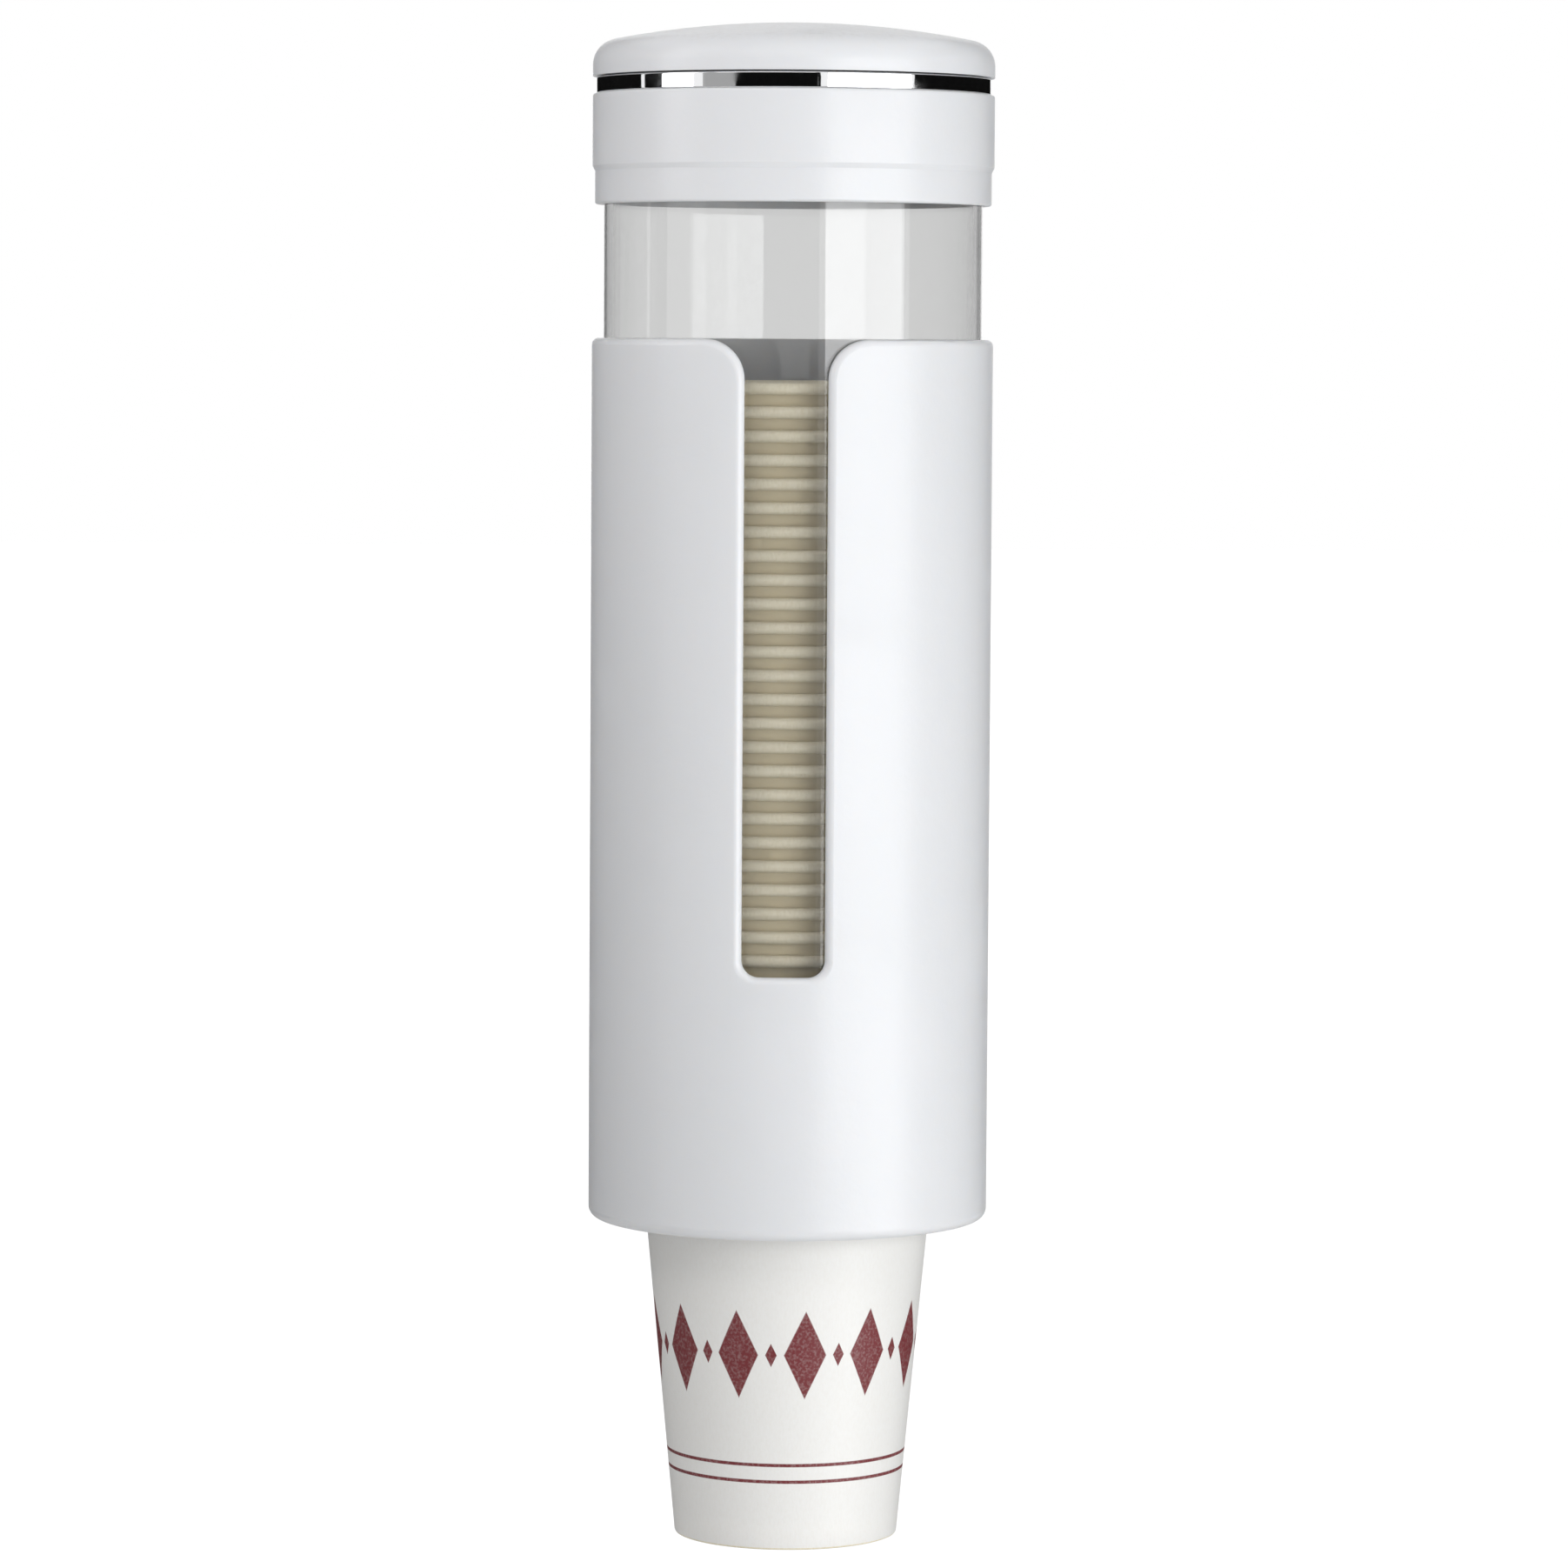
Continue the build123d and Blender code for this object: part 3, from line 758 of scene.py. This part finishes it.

# %% [markdown]
# Just below the curl of the rim a narrow band is painted a darker brown. It is painted shade
# for the hollow under the curl, not a change in the board. Ink on coated board is never quite
# even, so noise thins it here and there. The cup's own material carries all of this, as the
# real print is in the sheet and not a label on it.

# %% Painted shade under the curl, and ink
under_curl_shade = (0.78, 0.69, 0.49)
shade_band_top = 0.0798
shade_band_fade = 0.0006
ink_grains_per_metre = 1500.0
thinnest_ink = 0.86
# Above this height a darker brown is mixed in as painted shade for the hollow under the curl.
in_shade_band = ramp_node(tree, height_up, shade_band_top, shade_band_top + shade_band_fade)
tone = mix_colours(tree, in_shade_band, tone, under_curl_shade)
ink_grain = noise_node(tree, ink_grains_per_metre, detail=4.0)
patchy_ink = ramp_node(tree, ink_grain, low=0.25, high=0.6, to_low=thinnest_ink)
print_mask = math_node(tree, "MULTIPLY", inked, patchy_ink)
feed(tree, shader.inputs["Base Color"], mix_colours(tree, print_mask, tone, ink))
print(cup_print.name, "has", len(tree.nodes), "nodes")

# %% [markdown]
# Now the frame's pieces take their finish. They could be modelled again, but their shapes are
# right as they are, so each keeps its mesh. Faces that meet gently are shaded smooth, and real
# corners stay crisp.

# %% Dress the frame's pieces
finishes = {
    "white_plastic": white_plastic,
    "clear_plastic": clear_plastic,
    "chrome_plate": chrome_plate,
    "inner_plastic": inner_plastic,
    "bracket_plastic": bracket_plastic,
    "soft_seal": soft_seal,
    "flexible_fingers": flexible_fingers,
    "screw_steel": screw_steel,
    "foam_tape": foam_tape,
}
smooth_angle = math.radians(30)


def dress(node, finish):
    """Gives a frame piece its material and smooth shading between sharp corners."""
    data = nodes[node].data
    data.materials.clear()
    data.materials.append(finish)
    data.shade_smooth()
    data.set_sharp_from_angle(angle=smooth_angle)


for part in frame["record"]["subparts"]:
    if part["node"] not in cup_names:
        dress(part["node"], finishes[part["material_slot"]])
print("dressed", len(nodes) - len(cup_names), "pieces")

# %% [markdown]
# Plating shows every edge it has, because a mirror's flat sets how tall the bars in it are.
# The ring's band is flat nearly to its edges, with corners as fine as a plated moulding has, so
# the ring is turned again from its section. Its sizes are measured on the frame's ring, so that
# it stays where that one is.

# %% Measure the ring
ring_corner = 0.00035
corner_steps = 5
holding_row = 0.00004
ring_columns = 240
ring_points = [
    (math.hypot(v.co.x - axis_x, v.co.y - axis_y), v.co.z) for v in nodes["chrome_ring"].data.vertices
]
ring_foot, ring_top = (limit.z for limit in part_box("chrome_ring"))
ring_bore = min(radius for radius, height in ring_points)
band_radius = max(radius for radius, height in ring_points)
spigot_radius = max(radius for radius, height in ring_points if height < ring_foot + holding_row)
band_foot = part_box("top_collar")[1].z
print("band", round(ring_top - band_foot, 4), "tall on a ring of", round(2 * band_radius, 4))

# %% [markdown]
# A piece that is round can be spun from one section. Rows of points close to each corner hold
# the flat: without them smooth shading would bend the reflection over the whole band.

# %% The ring's section
def rounded_corner(radius, height, from_angle):
    """Points round an outer corner of a section, a quarter turn upwards from an angle."""
    middle_radius = radius - ring_corner
    middle_height = height + ring_corner if from_angle < 0 else height - ring_corner
    points = []
    for step in range(corner_steps + 1):
        angle = from_angle + math.pi / 2 * step / corner_steps
        across, up = ring_corner * math.cos(angle), ring_corner * math.sin(angle)
        points.append((middle_radius + across, middle_height + up))
    return points


ring_section = [
    (ring_bore, ring_foot),
    (spigot_radius, ring_foot),
    (spigot_radius, band_foot),
    (band_radius - ring_corner - holding_row, band_foot),
    *rounded_corner(band_radius, band_foot, -math.pi / 2),
    (band_radius, band_foot + ring_corner + holding_row),
    (band_radius, ring_top - ring_corner - holding_row),
    *rounded_corner(band_radius, ring_top, 0.0),
    (band_radius - ring_corner - holding_row, ring_top),
    (ring_bore, ring_top),
]
print("section of", len(ring_section), "points")

# %% [markdown]
# On a lathe the section sweeps once round the axis, and here it is the same: each of its
# points becomes a circle, and neighbouring circles are joined by faces. The new ring rides with
# the tube and stands for the frame's one, so it moves with the tube's body and the frame's ring
# is hidden.

# %% Turn the ring
def turned(name, section, columns, finish):
    """A closed section of radius and height turned round the dispenser's axis."""
    piece = bmesh.new()
    rings = []
    for radius, height in section:
        turn = (2 * math.pi * i / columns for i in range(columns))
        places = [(axis_x + radius * math.cos(a), axis_y + radius * math.sin(a), height) for a in turn]
        rings.append([piece.verts.new(place) for place in places])
    for ring, following in zip(rings, rings[1:] + rings[:1]):
        for i in range(columns):
            j = (i + 1) % columns
            piece.faces.new((ring[i], ring[j], following[j], following[i])).smooth = True
    bmesh.ops.recalc_face_normals(piece, faces=piece.faces)
    data = bpy.data.meshes.new(name)
    piece.to_mesh(data)
    piece.free()
    data.set_sharp_from_angle(angle=smooth_angle)
    data.materials.append(finish)
    made = bpy.data.objects.new(name, data)
    bpy.context.scene.collection.objects.link(made)
    return made


plated_ring = turned("plated_ring", ring_section, ring_columns, chrome_plate)
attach(plated_ring, "tube_assembly")
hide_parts("chrome_ring")
print(plated_ring.name, "has", len(plated_ring.data.polygons), "faces")

# %% [markdown]
# A paper cup is a rolled sheet. What the solid can't show is the curl of its rim, the side
# seam where the sheet overlaps, and the hem turned in under the floor. Its outer sizes and the
# distance from cup to cup in the stack come from the frame, and the board's own are typed here.

# %% Measure a cup
cup_low, cup_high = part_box("pull_cup")
cup_height = cup_high.z - cup_low.z
rim_radius = (cup_high.x - cup_low.x) / 2
touching_base = 0.00001
base_radius = max(
    math.hypot(v.co.x - axis_x, v.co.y - axis_y)
    for v in nodes["pull_cup"].data.vertices
    if v.co.z < cup_low.z + touching_base
)
stack_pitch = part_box("stack_cup_01")[0].z - cup_low.z
board = 0.00035
curl_diameter = 0.0029
seat_gap = 0.0003
floor_height = stack_pitch - seat_gap
hem = 3 * board
wall_top_radius = rim_radius - curl_diameter + board
print("cup", round(cup_height, 4), "high,", round(2 * rim_radius, 4), "over the rim")

# %% [markdown]
# The cup could be a cone with a ring on top, but then the curl would be a separate bead. One
# outline of radius and height instead runs as the sheet does: out over the floor, up the
# inside, round the curl, down the printed outside, round the hem and back under the floor.
# It begins with the floor and the inside.

# %% The inside of the cup
base_round = 0.0005
inner_shares = (0.02, 0.25, 0.5, 0.75, 0.98)
curl_radius = curl_diameter / 2
curl_x = wall_top_radius - board + curl_radius
curl_z = cup_height - curl_radius


def wall_radius(height):
    """The outside of the wall at a height above the cup's base."""
    return base_radius + (wall_top_radius - base_radius) * height / cup_height


inside = [(0.0, floor_height), (wall_radius(floor_height) - board - base_round, floor_height)]
for share in inner_shares:
    height = floor_height + share * (curl_z - floor_height)
    inside.append((wall_radius(height) - board, height))
print("inside of", len(inside), "points, with the floor", round(floor_height, 4), "m up")

# %% [markdown]
# The rim is curled outwards, which stiffens a cup and is what the fingers hold it by. In section
# the curl is most of a circle, and its end is tucked against the wall.

# %% The curl of the rim
curl_steps = 14
curl_tuck = math.radians(-150)
curl = []
for step in range(curl_steps + 1):
    angle = math.pi + (curl_tuck - math.pi) * step / curl_steps
    curl.append((curl_x + curl_radius * math.cos(angle), curl_z + curl_radius * math.sin(angle)))
print("curl of", len(curl), "points,", curl_diameter, "m across")

# %% [markdown]
# Below the tuck the sheet runs down as the printed wall and is folded in under the floor as a
# hem. The fold is a little round, because board doesn't crease to a sharp edge, and the floor
# sits above it in a shallow hollow.

# %% The outside and the hem
outer_shares = (1.0, 0.8, 0.6, 0.4, 0.2, 0.05)
under_curl_share = 0.1
base_round_share = 0.3
wall_top = curl[-1][1] - under_curl_share * curl_radius
outside = []
for share in outer_shares:
    height = base_round + share * (wall_top - base_round)
    outside.append((wall_radius(height), height))
outside.append((wall_radius(base_round), base_round))
underside = [
    (wall_radius(0) - base_round_share * base_round, base_round_share * base_round),
    (wall_radius(0) - base_round, 0.0),
    (wall_radius(0) - hem, 0.0),
    (wall_radius(floor_height) - hem, floor_height - board),
    (0.0, floor_height - board),
]
outline = inside + curl + outside + underside
first_printed = len(inside) + len(curl)
last_printed = first_printed + len(outside) - 1
print("outline of", len(outline), "points")

# %% [markdown]
# The seam is a strip where the sheet lies double, so its edges are real steps. The outline is
# spun over even columns, and a few extra ones at the seam are lifted by the sheet's thickness
# after pressing, from the tucked end of the curl down to the base.

# %% Columns round the cup
cup_columns = 96
seam_width = math.radians(9)
seam_edge = math.radians(0.5)
seam_columns = 3
seam_step = 0.00013
curl_rows_lifted = 4


def cup_angles():
    """Column angles and how far the seam lifts each, from 0 to 1."""
    regular = [2 * math.pi * i / cup_columns for i in range(cup_columns)]
    kept = [(a, 0.0) for a in regular if a > seam_width + 2 * seam_edge]
    steps = range(seam_columns + 1)
    lifted = [(seam_edge + (seam_width - seam_edge) * i / seam_columns, 1.0) for i in steps]
    return [(0.0, 0.0), *lifted, (seam_width + seam_edge, 0.0), *kept]


columns = cup_angles()
print(len(columns), "columns round the cup")

# %% [markdown]
# Each place of the outline becomes a ring of points, one for each column. The ring could be
# made by a Screw modifier, but it has no way to lift a seam.

# %% Rings of points
def cup_rings(cup):
    """The cup's points, a ring for each place of the outline and one point on the axis."""
    rings = []
    for place, (radius, height) in enumerate(outline):
        if radius == 0.0:
            rings.append([cup.verts.new((0.0, 0.0, height))])
            continue
        raised = seam_step if first_printed - curl_rows_lifted <= place <= last_printed else 0.0
        ring = []
        for angle, lift in columns:
            r = radius + raised * lift
            ring.append(cup.verts.new((r * math.cos(angle), r * math.sin(angle), height)))
        rings.append(ring)
    return rings


print("each cup has", len(outline) - 2, "rings and two points on the axis")

# %% [markdown]
# Faces then join each ring to the next. The middle of the floor is a single point, so the rings
# next to it are closed with triangles. One mesh carries two materials: bare board, and the
# printed wall between the curl and the base.

# %% Lathe the cup
cup_sharp_angle = math.radians(40)


def lathe_cup(name):
    """The cup's mesh about its own axis, with its base at height 0."""
    cup = bmesh.new()
    rings = cup_rings(cup)
    for place, (ring, following) in enumerate(zip(rings, rings[1:])):
        printed = first_printed <= place < last_printed
        for i in range(len(columns)):
            j = (i + 1) % len(columns)
            if len(ring) == 1:
                corners = (ring[0], following[i], following[j])
            elif len(following) == 1:
                corners = (ring[i], following[0], ring[j])
            else:
                corners = (ring[i], following[i], following[j], ring[j])
            face = cup.faces.new(corners)
            face.smooth = True
            face.material_index = 1 if printed else 0
    bmesh.ops.recalc_face_normals(cup, faces=cup.faces)
    data = bpy.data.meshes.new(name)
    cup.to_mesh(data)
    cup.free()
    data.set_sharp_from_angle(angle=cup_sharp_angle)
    data.materials.append(cup_paper)
    data.materials.append(cup_print)
    return data


cup_mesh = lathe_cup("paper_cup")
print("cup mesh of", len(cup_mesh.polygons), "faces")

# %% [markdown]
# Every cup shares that mesh. Cups are dropped into a dispenser as they come, so each is turned
# by its own angle, and the seams don't line up. Steps of the golden angle spread them without
# any random numbers. The hanging cup keeps its seam at the back.

# %% Place the cups
golden_angle = math.radians(137.5)
seam_at_the_back = math.radians(100)


def place_cup(node, body, turn):
    """A paper cup that stands for one of the frame's cups."""
    cup = bpy.data.objects.new("paper_" + node, cup_mesh)
    cup.location = (axis_x, axis_y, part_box(node)[0].z)
    cup.rotation_euler = (0.0, 0.0, turn)
    bpy.context.scene.collection.objects.link(cup)
    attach(cup, body)
    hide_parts(node)
    return cup


place_cup("pull_cup", "lowest_cup", seam_at_the_back)
for number, node in enumerate(stack_names, start=1):
    place_cup(node, "cup_stack", number * golden_angle)
print("placed", len(cup_names), "cups")
